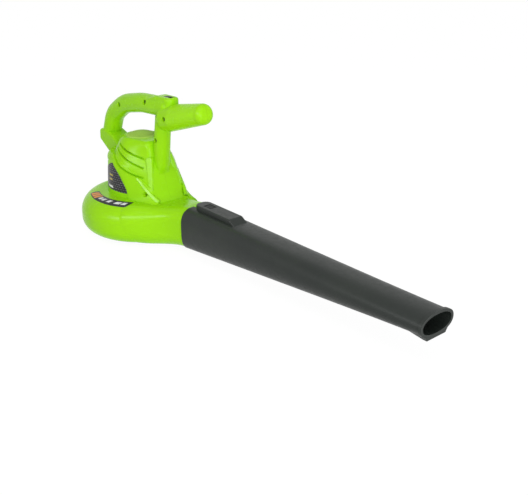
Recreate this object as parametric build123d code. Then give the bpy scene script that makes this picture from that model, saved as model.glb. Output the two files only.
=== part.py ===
from build123d import *
import os
from math import acos, atan2, cos, hypot, radians, sin

# A corded leaf blower: a round fan housing with a vertical fan, a motor tower with a carrying loop,
# and one tapered tube. The origin lies on the floor under the fan shaft, +X runs towards the nozzle,
# +Y to the left and +Z up. The two moulded tower halves part on the plane y = 0.

os.makedirs("parts", exist_ok=True)

# Fan housing
scroll_radius = 96.8
scroll_step = 10.2
scroll_sectors = ((225, 90), (135, 90), (-45, 180))
scroll_top = 62.5
scroll_bottom = 4.5
scroll_top_round = 30
scroll_bottom_round = 20
wall = 2.5
deck = 3
base_collar = 70
base_opening = 61
deck_opening = 20
shell_screw_radius = 65.5
shell_screw_count = 6
shell_boss_top = 16.5
pilot_radius = 1.5

# Tube, from the shoulder on the neck to the nozzle
tube_start = 135
tube_length = 424
tube_wall = 2.4
tube_rear_width = 60
tube_rear_height = 63
tube_rear_centre = 38.5
tube_rear_squareness = 3.4
nozzle_width = 54
nozzle_height = 27
nozzle_centre = 50.5
nozzle_squareness = 2.2
rim_length = 4
rim_step = 1.3
lip_bottom = 34
lip_half_width = 16
lip_root_half_width = 20
spigot_length = 46
spigot_gap = 0.3
shoulder_step = 1.5

# Latch
latch_x = 165
latch_block_start = 142
latch_block_end = 232
latch_block_half_width = 12
latch_block_top = 76.5
button_length = 15
button_width = 11
flange_length = button_length + 4
flange_width = button_width + 4
flange_height = 2.5
slide_gap = 0.3
well_wall = 2.2
well_bottom = 46
well_cap = 3
well_roof = 63
spring_wire = 1
spring_radius = 4.5
spring_turns = 4

# Motor tower and loop
can_offset = -5
can_foot_radius = 52.5
can_top_radius = 49.2
can_top = 118
can_round = 14
swelling_offset = -12
swelling_radius = 46.5
swelling_height = 112
swelling_half = 9
tower_floor = 50
tower_top = 146
cap_seat = 143
cap_radius = 23
cap_rise = 6.5
cap_wall = 2
cap_slots = 7
cap_slot_pitch = 5.5
tower_corner = 8
wing_relief = 3
wing_inner = 27
slit_width = 3
handle_radius = 14.3
post_radius = 11.6
stub_root_radius = 20
stub_end_radius = 14
stub_root_round = 8
stub_end_round = 9
boss_top = 215.6
boss_half_width = 11.5
boss_round = 4
lead_radius = 2.6
lead_gap = 0.6
post_foot = (49, 112)
post_head = (60, 184)
post_lead = 6

# Power inlet and switch
inlet_width = 23
inlet_height = 21
inlet_depth = 14
insert_depth = 5
switch_x = 77
switch_half = (9, 6.5)
switch_low = 192
switch_high = 206
slider_travel = 6
slider_length = 11
slider_width = 8
recess_depth = 3.2

# Motor
shaft_radius = 4
journal_gap = 0.05
bracket_radius = 40
stack_bottom = 80
stack_top = 108
stator_radius = 38
yoke_radius = 32
pole_radius = 22.5
armature_radius = 22
armature_slots = 12
tie_bolt_x = 35
bracket_arms = 126
leg_outside = 32
bearing_radius = 11
bearing_width = 7
commutator_radius = 11
commutator_bars = 16
brush_height = 120

# Impeller
impeller_radius = 59
impeller_bottom = 14
impeller_plate = 46
impeller_blades = 9
eye_radius = 39

pieces = {}


def turned(outline):
    """Turn an outline, drawn in radius and height, about the fan axis."""
    return revolve(Plane.XZ * outline, Axis.Z)


def rounded(points, rounds):
    """A closed outline whose corners, listed by index, are rounded to a radius."""
    outline = make_face(Polyline(*points, close=True))
    for index, radius in rounds.items():
        corner = outline.vertices().sort_by_distance(points[index])[0]
        outline = fillet(corner, radius)
    return outline


def upright(outline, half_width):
    """Extrude an outline, drawn in x and z, equally to both sides of the plane y = 0."""
    return extrude(Plane.XZ * outline, half_width, both=True)


def rod(x, z, radius, y_from, y_to):
    """A round bar across the machine, along Y."""
    middle = Pos(x, (y_from + y_to) / 2, z)
    return middle * Rot(90, 0, 0) * Cylinder(radius, abs(y_to - y_from))


def block(x_range, y_range, z_range):
    """A box between two limits on each axis."""
    lows, highs = zip(x_range, y_range, z_range)
    sizes = [high - low for low, high in zip(lows, highs)]
    centre = [(high + low) / 2 for low, high in zip(lows, highs)]
    return Pos(*centre) * Box(*sizes)


def upright_rod(radius, z_from, z_to):
    """A round bar on the fan axis."""
    return Pos(0, 0, (z_from + z_to) / 2) * Cylinder(radius, z_to - z_from)


def ring(outer, inner, z_from, z_to):
    """A flat ring about the fan axis."""
    return Pos(0, 0, z_from) * extrude(Circle(outer) - Circle(inner), z_to - z_from)


# Tube and neck


def section_plane(x, z):
    """An upright plane across the tube, with its own x along Y and its own y along Z."""
    return Plane((x, 0, z), x_dir=(0, 1, 0), z_dir=(1, 0, 0))


def oval(half_width, half_height, squareness):
    """A closed oval between an ellipse, at squareness 2, and a rounded rectangle, at 4 or more."""
    points = []
    for step in range(24):
        angle = radians(15 * step)
        across = abs(cos(angle) / half_width) ** squareness
        along = abs(sin(angle) / half_height) ** squareness
        reach = (across + along) ** (-1 / squareness)
        points.append((reach * cos(angle), reach * sin(angle)))
    return make_face(Spline(*points, periodic=True))


def tube_section(x, inset=0):
    """The tube's section at x, drawn in from its outer skin by an inset."""
    share = (x - tube_start) / tube_length
    width = tube_rear_width + share * (nozzle_width - tube_rear_width) - 2 * inset
    height = tube_rear_height + share * (nozzle_height - tube_rear_height) - 2 * inset
    centre = tube_rear_centre + share * (nozzle_centre - tube_rear_centre)
    squareness = tube_rear_squareness + share * (nozzle_squareness - tube_rear_squareness)
    return section_plane(x, centre) * oval(width / 2, height / 2, squareness)


def tube_core(inset):
    """The whole taper as a solid, a little longer than the tube at both ends."""
    ends = (tube_start - 1, tube_start + tube_length + 1)
    return loft([tube_section(x, inset) for x in ends], ruled=True)


def tube_span(x_from, x_to, inset=0):
    """A solid stretch of the tapered tube."""
    half = tube_rear_width
    return tube_core(inset) & block((x_from, x_to), (-half, half), (-half, 2 * half))


def tube_top(x, inset=0):
    """Height of the tube's upper side at x."""
    share = (x - tube_start) / tube_length
    rear = tube_rear_centre + tube_rear_height / 2
    front = nozzle_centre + nozzle_height / 2
    return rear + share * (front - rear) - inset


def scroll_chord(x):
    """Half the scroll's width at x, on its widest quarter."""
    return (scroll_radius**2 - x**2) ** 0.5


def neck_body(inset):
    """The bottle neck between scroll and tube, narrowing in a concave sweep, fuller on the near side."""
    end_half = tube_rear_width / 2 - shoulder_step
    end_height = tube_rear_height - 2 * shoulder_step
    height = scroll_top - scroll_bottom
    middle = (scroll_top + scroll_bottom) / 2
    stations = (
        (38, scroll_chord(38) - 10, 42, height - 4, middle, 24),
        (60, scroll_chord(60) + 0.6, 45, height, middle, 27),
        (82, 57, 39, height, middle, 24),
        (108, 37.5, 32, 59, 36.5, 20),
        (tube_start, end_half, end_half, end_height, tube_rear_centre, 18),
    )
    sections = []
    for x, near, far, height, centre, corner in stations:
        outline = RectangleRounded(near + far - 2 * inset, height - 2 * inset, corner - inset)
        sections.append(section_plane(x, centre) * Pos((far - near) / 2, 0) * outline)
    return loft(sections)


def scroll_sector(radius, turn, inset):
    """A sector of the scroll's round-shouldered section, turned through an angle."""
    points = (
        (0, scroll_bottom + inset),
        (radius - inset, scroll_bottom + inset),
        (radius - inset, scroll_top - inset),
        (0, scroll_top - inset),
    )
    rounds = {1: scroll_bottom_round - inset, 2: scroll_top_round - inset}
    return revolve(Plane.XZ * rounded(points, rounds), Axis.Z, turn)


def scroll_body(inset):
    """The spiral scroll: sectors whose radius shrinks by one step from the neck round to the tongue.

    Each sector turns about its own centre, one step further along the line where it meets the last one.
    """
    body = None
    centre = Vector(0, 0, 0)
    for index, (start, turn) in enumerate(scroll_sectors):
        sector = scroll_sector(scroll_radius - index * scroll_step, turn, inset)
        sector = Pos(*centre) * Rot(0, 0, start) * sector
        body = sector if body is None else body + sector
        centre += Vector(cos(radians(start)), sin(radians(start)), 0) * scroll_step
    return body


def shell_screw_places():
    """The screws that hold the base plate, spaced round the intake."""
    return PolarLocations(shell_screw_radius, shell_screw_count, start_angle=30)


def latch_box(length, width, z_range):
    """A box of that length and width, centred under the release button."""
    return block((latch_x - length / 2, latch_x + length / 2), (-width / 2, width / 2), z_range)


def latch_well(gap):
    """The rectangular well under the release button, grown outwards by a gap."""
    return latch_box(flange_length + 2 * gap, flange_width + 2 * gap, (well_bottom, well_roof))


def fan_outer():
    """The fan housing's outside, without the spigot."""
    collar = ring(base_collar, base_opening, scroll_bottom, 3 * scroll_bottom)
    across = (-scroll_radius, scroll_radius)
    below = block((0, 2 * scroll_radius), across, (-scroll_bottom, scroll_bottom))
    return scroll_body(0) + neck_body(0) + collar - below


def fan_housing(outer):
    spigot_end = tube_start + spigot_length
    skin = tube_wall + spigot_gap
    body = outer + tube_span(tube_start - 1, spigot_end, skin)
    body -= scroll_body(wall)
    body -= neck_body(wall)
    body -= tube_core(skin + wall)
    body -= upright_rod(impeller_radius + 2.5, impeller_bottom - 2, impeller_plate + 5)
    body += ring(base_collar, base_opening, scroll_bottom, scroll_bottom + deck)
    body -= upright_rod(base_opening, 0, 2 * scroll_bottom)
    body += ring(deck_opening + 12, deck_opening - 1, scroll_top - deck, scroll_top)
    body -= upright_rod(deck_opening, scroll_top - 2 * deck, scroll_top + 1)
    well_block = latch_box(
        flange_length + 2 * (slide_gap + well_wall),
        flange_width + 2 * (slide_gap + well_wall),
        (well_bottom, latch_block_top),
    )
    body += well_block & tube_span(tube_start, spigot_end, skin)
    body -= latch_well(slide_gap)
    body -= latch_box(
        button_length + 2 * slide_gap, button_width + 2 * slide_gap, (well_bottom, latch_block_top)
    )
    for place in shell_screw_places():
        body += place * upright_rod(4, scroll_bottom, shell_boss_top)
        body -= place * upright_rod(pilot_radius, 0, shell_boss_top + 1)
    return body


def blower_tube():
    end = tube_start + tube_length
    block_outline = rounded(
        (
            (latch_block_start, tube_rear_centre),
            (latch_block_start, latch_block_top),
            (latch_block_end - 12, latch_block_top - 1.5),
            (latch_block_end, tube_top(latch_block_end) - 1),
            (latch_block_end, tube_rear_centre),
        ),
        {2: 4},
    )
    half = latch_block_half_width
    plan = rounded(
        (
            (latch_block_start, -half),
            (latch_block_end, -half),
            (latch_block_end, half),
            (latch_block_start, half),
        ),
        {0: half - 2, 3: half - 2},
    )
    latch_block = upright(block_outline, half) & extrude(plan, latch_block_top + 1)
    latch_block = fillet(latch_block.faces().sort_by(Axis.Z)[-1].edges(), 1.5)
    rim = tube_span(end - rim_length, end, -rim_step)
    lip_root = nozzle_centre - nozzle_height / 2 + 3
    lip_outline = rounded(
        ((end - 26, lip_root), (end - 5, lip_bottom), (end, lip_bottom), (end, lip_root)), {1: 3}
    )
    lip_front = make_face(
        Polyline(
            (-lip_half_width, lip_bottom),
            (lip_half_width, lip_bottom),
            (lip_root_half_width, lip_root),
            (-lip_root_half_width, lip_root),
            close=True,
        )
    )
    lip = upright(lip_outline, lip_root_half_width) & extrude(section_plane(end, 0) * lip_front, -30)
    body = tube_span(tube_start, end) + latch_block + rim + lip
    body -= tube_core(tube_wall)
    channel_half = button_width / 2 + 1.5
    channel_top = latch_block_top - 2.6
    body -= block(
        (tube_start - 1, latch_x + 14), (-channel_half, channel_half), (tube_rear_centre, channel_top)
    )
    body -= latch_box(
        button_length + 2 * slide_gap,
        button_width + 2 * slide_gap,
        (channel_top - 1, latch_block_top + 1),
    )
    return body


def release_button():
    """The pad that locks into the tube's window, with the flange that keeps it in its well."""
    flange_top = well_roof - slide_gap
    pad = latch_box(button_length, button_width, (flange_top - 1, latch_block_top - 0.5))
    pad = fillet(pad.faces().sort_by(Axis.Z)[-1].edges(), 1.2)
    return pad + latch_box(flange_length, flange_width, (flange_top - flange_height, flange_top))


def latch_cap():
    """The plug that closes the well and carries the spring on a stud."""
    floor = well_bottom + well_cap
    cap = latch_box(flange_length + 2 * slide_gap, flange_width + 2 * slide_gap, (well_bottom, floor))
    stud_radius = spring_radius - spring_wire / 2 - 0.4
    return cap + Pos(latch_x, 0, 0) * upright_rod(stud_radius, floor, floor + 2.5)


def release_spring():
    """A coil spring from the cap to the underside of the button."""
    low = well_bottom + well_cap + spring_wire / 2
    high = well_roof - slide_gap - flange_height - spring_wire / 2
    pitch = (high - low) / spring_turns
    path = Pos(latch_x, 0, low) * Helix(pitch, high - low, spring_radius)
    wire = Plane(path @ 0, z_dir=path % 0) * RegularPolygon(spring_wire / 2, 6)
    return sweep(wire, path, is_frenet=True)


# Base


def base_plate():
    """The cover under the fan: a foot ring, a seat for the grille and a mouth into the impeller."""
    plate_radius = base_collar
    low = scroll_bottom - deck
    foot = (48, 58)
    seat = eye_radius + 3.5
    seat_height = low + 1.8
    lip = eye_radius + 2
    outline = rounded(
        (
            (seat, low),
            (foot[0], low),
            (foot[0], 0),
            (foot[1], 0),
            (foot[1], low),
            (plate_radius, low),
            (plate_radius, scroll_bottom),
            (lip, scroll_bottom),
            (lip, impeller_bottom - 2),
            (eye_radius, impeller_bottom - 2),
            (eye_radius, seat_height),
            (seat, seat_height),
        ),
        {5: 1.2},
    )
    plate = turned(outline)
    for place in shell_screw_places():
        plate -= place * Pos(0, 0, low) * Cylinder(3.6, 2.4)
        plate -= place * Cylinder(1.8, 30)
    return plate


def base_screws():
    low = scroll_bottom - deck
    screws = []
    for place in shell_screw_places():
        head = Pos(0, 0, low + 0.6) * Cylinder(3.2, 1.2)
        shank = Pos(0, 0, low + 6) * Cylinder(1.5, 10)
        screws.append(place * (head + shank))
    return Compound(children=screws)


def intake_grille():
    """A finger guard of rings and spokes."""
    low = scroll_bottom - deck
    high = low + 1.8
    rim = eye_radius + 3.3
    guard = ring(rim, rim - 5, low, high)
    for radius in (10, 19, 28):
        guard += ring(radius + 1, radius - 1, low, high)
    spoke = block((9, rim - 2), (-1.2, 1.2), (low, high))
    for turn in range(8):
        guard += Rot(0, 0, 45 * turn) * spoke
    return guard


# Impeller and motor


def impeller():
    """A back plate with curved blades below it and short cooling ribs above it."""
    plate_thickness = 2.5
    hub_radius = 12
    root = 20
    blade_sweep = -38
    tip = impeller_radius - 0.5
    middle = (root + tip) / 2
    path = ThreePointArc(
        (root, 0),
        (middle * cos(radians(blade_sweep * 0.35)), middle * sin(radians(blade_sweep * 0.35))),
        (tip * cos(radians(blade_sweep)), tip * sin(radians(blade_sweep))),
    )
    blade_face = trace(path, 1.8)
    blade = Pos(0, 0, impeller_bottom) * extrude(blade_face, impeller_plate - impeller_bottom + 0.5)
    rib = block((hub_radius - 1, impeller_radius - 15), (-0.9, 0.9), (impeller_plate + 1, 54))
    wheel = ring(impeller_radius, shaft_radius, impeller_plate, impeller_plate + plate_thickness)
    for index in range(impeller_blades):
        wheel += Rot(0, 0, 360 / impeller_blades * index) * blade
        wheel += Rot(0, 0, 360 / impeller_blades * (index + 0.5)) * rib
    wheel += ring(hub_radius, shaft_radius, 38, 56)
    eye_cone = Pos(0, 0, impeller_bottom) * Cone(
        eye_radius, root, 18, align=(Align.CENTER, Align.CENTER, Align.MIN)
    )
    return wheel - eye_cone


def motor_shaft():
    lower = Pos(0, 0, 28) * Cylinder(
        shaft_radius, 103, align=(Align.CENTER, Align.CENTER, Align.MIN)
    )
    return chamfer(lower.edges(), 0.6)


def impeller_nut():
    hexagon = RegularPolygon(7.5, 6) - Circle(shaft_radius)
    return Pos(0, 0, 30.5) * extrude(hexagon, 6)


def bearing(z_from):
    """A ball bearing as one ring with grooved faces between its races."""
    inner = shaft_radius + journal_gap
    body = ring(bearing_radius, inner, z_from, z_from + bearing_width)
    for low in (z_from, z_from + bearing_width - 0.6):
        body -= ring(bearing_radius - 2.2, inner + 2, low, low + 0.6)
    return body


def lower_bracket():
    """The end frame on the deck: a plate with the bearing seat and two pillars for the stator."""
    body = ring(bracket_radius, bearing_radius, scroll_top, scroll_top + 3)
    body += ring(bearing_radius + 4, bearing_radius, scroll_top, scroll_top + bearing_width + 2)
    body += ring(
        bearing_radius + 0.5,
        shaft_radius + 2,
        scroll_top + bearing_width,
        scroll_top + bearing_width + 2,
    )
    for side in (-1, 1):
        body += Pos(side * tie_bolt_x, 0, scroll_top) * Cylinder(
            4, stack_bottom - scroll_top, align=(Align.CENTER, Align.CENTER, Align.MIN)
        )
        body -= Pos(side * tie_bolt_x, 0, 76) * Cylinder(1.6, 20)
    for angle in (45, 135, 225, 315):
        body -= Rot(0, 0, angle) * Pos(27, 0, scroll_top) * Cylinder(6, 20)
    return body


def stator_core():
    """A two-pole stack: a ring yoke with a pole and a curved pole shoe on each side."""
    poles = Rectangle(20, 2 * yoke_radius + 4) & Circle(yoke_radius + 1)
    shoe_ring = Circle(pole_radius + 2.5) - Circle(pole_radius)
    shoes = shoe_ring & Rectangle(34, 4 * pole_radius)
    outline = (Circle(stator_radius) - Circle(yoke_radius)) + poles + shoes
    outline -= Circle(pole_radius)
    for side in (-1, 1):
        outline -= Pos(side * tie_bolt_x, 0) * Circle(1.6)
    return Pos(0, 0, stack_bottom) * extrude(outline, stack_top - stack_bottom)


def field_coils():
    """Two wound loops, one round each pole."""
    height = stack_top - stack_bottom
    middle = (stack_top + stack_bottom) / 2
    loop = RectangleRounded(31, height + 12, 6) - Rectangle(20.6, height + 1)
    coils = []
    for side in (-1, 1):
        plane = Plane((0, side * 25.4, middle), x_dir=(1, 0, 0), z_dir=(0, -1, 0))
        coils.append(extrude(plane * loop, 1.9, both=True))
    return Compound(children=coils)


def armature_core():
    outline = Circle(armature_radius) - Circle(shaft_radius)
    slot = Pos(armature_radius - 4, 0) * Rectangle(9, 2.4)
    for index in range(armature_slots):
        outline -= Rot(0, 0, 360 / armature_slots * index) * slot
    return Pos(0, 0, stack_bottom) * extrude(outline, stack_top - stack_bottom)


def armature_winding():
    """The wire heads at both ends of the rotor stack."""
    lower = rounded(
        ((shaft_radius + 1, 75), (19, 75), (19, stack_bottom), (shaft_radius + 1, stack_bottom)),
        {0: 2, 1: 3},
    )
    upper = rounded(
        ((shaft_radius + 1, stack_top), (19, stack_top), (19, 112.5), (shaft_radius + 1, 112.5)),
        {2: 3, 3: 2},
    )
    return Compound(children=[turned(lower), turned(upper)])


def commutator():
    outline = Circle(commutator_radius) - Circle(shaft_radius)
    groove = Pos(commutator_radius, 0) * Rectangle(1.6, 0.7)
    for index in range(commutator_bars):
        outline -= Rot(0, 0, 360 / commutator_bars * index) * groove
    return Pos(0, 0, 113) * extrude(outline, 11.5)


def upper_bracket():
    """The end frame above the rotor: bolted feet, two legs and a cross of arms with the bearing seat."""
    low = bracket_arms
    body = block((-leg_outside, leg_outside), (-5, 5), (low, low + 3))
    body += block((-6, 6), (-30, 30), (low, low + 3))
    body += ring(bearing_radius + 3, bearing_radius - 1, low, low + bearing_width + 2)
    body += ring(bearing_radius, 3, low + bearing_width, low + bearing_width + 2)
    body -= Pos(0, 0, low) * Cylinder(
        bearing_radius, bearing_width, align=(Align.CENTER, Align.CENTER, Align.MIN)
    )
    for side in (-1, 1):
        leg = sorted((side * (leg_outside - 6), side * leg_outside))
        foot = sorted((side * (leg_outside - 6), side * (tie_bolt_x + 3)))
        body += block(leg, (-5, 5), (stack_top, low + 3))
        body += block(foot, (-5, 5), (stack_top, stack_top + 3))
        body -= Pos(side * tie_bolt_x, 0, stack_top) * Cylinder(1.6, 12)
    return body


def motor_screws():
    """The two tie bolts through the stator into the lower end frame."""
    low = 70
    high = stack_top + 3
    bolts = []
    for side in (-1, 1):
        shank = Pos(side * tie_bolt_x, 0, (low + high) / 2) * Cylinder(1.5, high - low)
        head = Pos(side * tie_bolt_x, 0, high + 1) * Cylinder(2.6, 2)
        bolts.append(shank + head)
    return Compound(children=bolts)


def brush_box(side, half_x, half_z, y_from, y_to):
    """A box along Y at the height of the brushes, on one side of the commutator."""
    y_range = sorted((side * y_from, side * y_to))
    return block((-half_x, half_x), y_range, (brush_height - half_z, brush_height + half_z))


def brush_holders():
    holders = []
    for side in (-1, 1):
        box = brush_box(side, 4.6, 6, 13, 29)
        holders.append(box - brush_box(side, 3.4, 4.4, 12, 30))
    return Compound(children=holders)


def carbon_brushes():
    brushes = []
    for side in (-1, 1):
        brush = brush_box(side, 3.4, 4.4, 9, 24)
        brushes.append(brush - Pos(0, 0, brush_height) * Cylinder(commutator_radius + 0.08, 20))
    return Compound(children=brushes)


def brush_springs():
    """A bent leaf behind each brush, hooked under the holder's roof."""
    leaf = Polyline((24.3, brush_height - 3.4), (26.6, brush_height), (24.3, brush_height + 3.4))
    strip = trace(leaf, 0.6)
    springs = []
    for side in (-1, 1):
        plane = Plane((0, 0, 0), x_dir=(0, side, 0), z_dir=(side, 0, 0))
        springs.append(extrude(plane * strip, 2.4, both=True))
    return Compound(children=springs)


# Tower halves with loop, post and stub grip


def tower_section(z, rear, front, half_width, corner):
    """A level section: a round back about the motor, straight sides and a narrow front."""
    centre_x = front - corner
    centre_y = half_width - corner
    lean = atan2(centre_y, centre_x) + acos((rear - corner) / hypot(centre_x, centre_y))
    back = (rear * cos(lean), rear * sin(lean))
    side = (centre_x + corner * cos(lean), centre_y + corner * sin(lean))
    bend = (centre_x + corner * cos(lean / 2), centre_y + corner * sin(lean / 2))
    tip = (front, centre_y)
    edges = [
        ThreePointArc(back, (-rear, 0), (back[0], -back[1])),
        Line((back[0], -back[1]), (side[0], -side[1])),
        ThreePointArc((side[0], -side[1]), (bend[0], -bend[1]), (tip[0], -tip[1])),
        Line((tip[0], -tip[1]), tip),
        ThreePointArc(tip, bend, side),
        Line(side, back),
    ]
    return Pos(0, 0, z) * make_face(edges)


def tower_wedge(relief):
    """The tower in front of the motor, from the flare on the neck to the vent cap.

    Each station has its height, the back's radius, the front's reach and half width, and how much of the
    relief it takes: a raised panel stands out most at its foot.
    """
    stations = (
        (tower_floor, 54, 95, 36, 1.2),
        (62, 52, 75.5, 33, 0.9),
        (74, 51, 63.5, 31, 0.8),
        (90, 50, 59, 28.3, 0.6),
        (105, 47.5, 54.5, 25.5, 0.25),
        (120, 42, 49.5, 22.8, 0.15),
        (137, 34, 46, 21.3, 0.15),
        (tower_top, 26.5, 39.5, 18.5, 0.15),
    )
    sections = []
    for z, rear, front, half_width, share in stations:
        grow = share * relief
        sections.append(
            tower_section(z, rear + grow, front + grow, half_width + grow, tower_corner + grow)
        )
    return loft(sections)


def motor_can():
    """The round can behind the tower, with a rounded swelling at the top of its back."""
    can = rounded(
        (
            (0, tower_floor),
            (can_foot_radius + 2, tower_floor),
            (can_foot_radius, scroll_top + 2),
            (can_top_radius, can_top),
            (0, can_top),
        ),
        {3: can_round},
    )
    low = swelling_height - swelling_half
    high = swelling_height + swelling_half
    edge = swelling_radius - 5
    swelling = make_face(
        [
            Line((0, low), (edge, low)),
            ThreePointArc((edge, low), (swelling_radius, swelling_height), (edge, high)),
            Line((edge, high), (0, high)),
            Line((0, high), (0, low)),
        ]
    )
    return Pos(can_offset, 0, 0) * turned(can) + Pos(swelling_offset, 0, 0) * turned(swelling)


def wing_panel():
    """The raised triangular panel that runs from the rear arm down to the neck on each side."""
    corners = (
        (-12, 126),
        (2, 121),
        (66, 79),
        (80, 60),
        (80, tower_floor),
        (34, tower_floor),
        (28, 67),
        (20, 88),
        (10, 101),
    )
    outline = make_face(Polyline(*corners, close=True))
    panel = upright(outline, 80) & tower_wedge(wing_relief)
    return panel - block((0, 120), (-wing_inner, wing_inner), (0, tower_top))


def loop_path(inset=0):
    """The centre line of the carrying loop, from the power inlet over the top bar to the post."""
    corners = (
        (-85 + inset, 132),
        (-71 + inset, 166 - 0.6 * inset),
        (-39 + 0.4 * inset, 187 - inset),
        (8, 196 - inset),
        (74, 199.5 - inset),
    )
    return Plane.XZ * FilletPolyline(*corners, radius=[40, 75, 160])


def loop_bar(radius, inset=0):
    path = loop_path(inset)
    bar = sweep(Plane(path @ 0, z_dir=path % 0) * Circle(radius), path)
    return bar + Pos(path @ 1) * Sphere(radius)


def straight_bar(start, end, radius_from, radius_to):
    """A round bar in the plane y = 0, tapering evenly from start to end, both given in x and z."""
    reach = Vector(end[0] - start[0], 0, end[1] - start[1])
    plane = Plane((start[0], 0, start[1]), z_dir=reach)
    far = plane.offset(reach.length)
    return loft([plane * Circle(radius_from), far * Circle(radius_to)], ruled=True)


def stub_grip():
    """The forward grip: a cone with a rounded end, rising towards the front."""
    root = (66, 182.5)
    tip = (163, 206.5)
    length = hypot(tip[0] - root[0], tip[1] - root[1])
    rise = atan2(tip[1] - root[1], tip[0] - root[0])
    outline = rounded(
        ((0, 0), (0, stub_root_radius), (length, stub_end_radius), (length, 0)),
        {1: stub_root_round, 2: stub_end_round},
    )
    axis = Plane((root[0], 0, root[1]), x_dir=(cos(rise), 0, sin(rise)), z_dir=(0, -1, 0))
    grip = revolve(outline, Axis.X)
    return axis * grip


def switch_boss():
    """The raised flat end of the top bar that carries the slide switch, rounded at its front."""
    end = switch_x + 13
    side = rounded(
        ((28, 196), (32, 208), (56, boss_top - 0.8), (end + 1, boss_top), (end + 1, 196)), {1: 6, 2: 14}
    )
    plan = rounded(
        (
            (28, -boss_half_width),
            (end, -boss_half_width),
            (end, boss_half_width),
            (28, boss_half_width),
        ),
        {1: boss_half_width - 1, 2: boss_half_width - 1},
    )
    body = upright(side, 2 * boss_half_width) & extrude(plan, 2 * boss_top)
    return fillet(body.faces().sort_by(Axis.Z)[-1].edges(), boss_round)


def inlet_collar():
    """The block at the foot of the loop, with the power inlet in its sloping underside."""
    outline = rounded(
        ((-84, 143), (-97, 139), (-98, 123), (-62, 100), (-40, 92), (-30, 116), (-58, 134)),
        {1: 5, 2: 5, 6: 8},
    )
    body = upright(outline, 15.5)
    sides = body.faces().sort_by(Axis.Y)
    return fillet(sides[0].edges() + sides[-1].edges(), 4)


def inlet_plane():
    """The plane of the inlet's mouth: its own x along Y, its own z out of the mouth."""
    return Plane((-82, 0, 112.8), x_dir=(0, 1, 0), z_dir=(-0.545, 0, -0.838))


def inlet_recess():
    """The socket's space, from the bottom of its insert out past the mouth."""
    bottom = inlet_plane().offset(-inlet_depth - insert_depth)
    mouth = RectangleRounded(inlet_width, inlet_height, 4)
    return extrude(bottom * mouth, amount=inlet_depth + insert_depth + 6)


def inlet_insert():
    bottom = inlet_plane().offset(-inlet_depth - insert_depth)
    plate = extrude(bottom * RectangleRounded(inlet_width, inlet_height, 4), amount=insert_depth)
    return plate - inlet_slots()


def inlet_slots():
    """The two flat openings that the blades stand in."""
    bottom = inlet_plane().offset(-inlet_depth - insert_depth + 2)
    blade = Pos(6.35, 0) * Rectangle(1.5, 6.4) + Pos(-6.35, 0) * Rectangle(1.5, 6.4)
    return extrude(bottom * blade, amount=inlet_depth + insert_depth - 4)


def screw_places():
    """Where the screws cross the tower halves: x, z and the depth of the head from y = 0."""
    return (
        (87, 188, 14),
        (33, 202, 9),
        (-35, 187.5, 9),
        (54, 150, 7),
        (-52, 110.5, 11),
        (55, 73, 28),
    )


def tower_outer():
    body = motor_can() + tower_wedge(0) + wing_panel()
    body += loop_bar(handle_radius)
    body += inlet_collar()
    body += straight_bar(post_foot, post_head, post_radius + 1, post_radius)
    body += stub_grip()
    body += switch_boss()
    return body


def vent_slits():
    """Three curved slits through each side panel, falling towards the front."""
    slits = None
    arcs = (
        ((-8, 137), (14, 129), (42, 121)),
        ((-12, 131), (13, 119.5), (43, 108)),
        ((-18, 126), (11, 107), (46, 95)),
    )
    for points in arcs:
        slit = upright(trace(ThreePointArc(*points), slit_width), 80)
        slits = slit if slits is None else slits + slit
    return slits - block((-100, 100), (-24, 24), (0, 2 * tower_top))


def tower_cavity():
    """The space for the motor: a stepped round chamber, open to the deck and to the vent cap."""
    chamber = make_face(
        Polyline(
            (0, tower_floor - 1),
            (43, tower_floor - 1),
            (43, 104),
            (39, 120),
            (31, 137),
            (cap_radius - 4, cap_seat),
            (cap_radius, cap_seat),
            (cap_radius, tower_top + 1),
            (0, tower_top + 1),
            close=True,
        )
    )
    return turned(chamber)


def slider_recess():
    travel_room = slider_length + slider_travel + 2 * slide_gap
    start = switch_x - travel_room / 2
    body = block(
        (start, start + travel_room),
        (-slider_width / 2 - slide_gap, slider_width / 2 + slide_gap),
        (boss_top - recess_depth, boss_top + 4),
    )
    stem_room = 4 + slider_travel + 2 * slide_gap
    return body + block(
        (switch_x - stem_room / 2, switch_x + stem_room / 2),
        (-2 - slide_gap, 2 + slide_gap),
        (switch_high - 1, boss_top),
    )


def lead_channel(radius):
    """The round channels for the leads, along the loop and down the post."""
    foot = (post_foot[0] + post_lead, post_foot[1])
    head = (post_head[0] + post_lead, post_head[1])
    return loop_bar(radius, 7) + straight_bar(foot, (head[0] + 1.5, head[1] + 9.8), radius, radius)


def tower_halves(fan):
    """Both moulded halves: the hollowed tower cut on the plane y = 0."""
    body = tower_outer() - fan
    body -= tower_cavity()
    body -= vent_slits()
    body -= inlet_recess()
    body -= block(
        (switch_x - switch_half[0], switch_x + switch_half[0]),
        (-switch_half[1], switch_half[1]),
        (switch_low, switch_high + 4),
    )
    body -= slider_recess()
    body -= lead_channel(lead_radius + lead_gap)
    for x, z, depth in screw_places():
        body -= rod(x, z, 3.6, -depth, -80)
        body -= rod(x, z, 1.6, -depth - 1, 9)
    right = split(body, Plane.XZ, keep=Keep.TOP)
    left = split(body, Plane.XZ, keep=Keep.BOTTOM)
    return right, left


def housing_screws():
    screws = []
    for x, z, depth in screw_places():
        head = rod(x, z, 3.2, -depth, -depth - 2.2)
        shank = rod(x, z, 1.5, -depth, 8)
        screws.append(head + shank)
    return Compound(children=screws)


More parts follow.
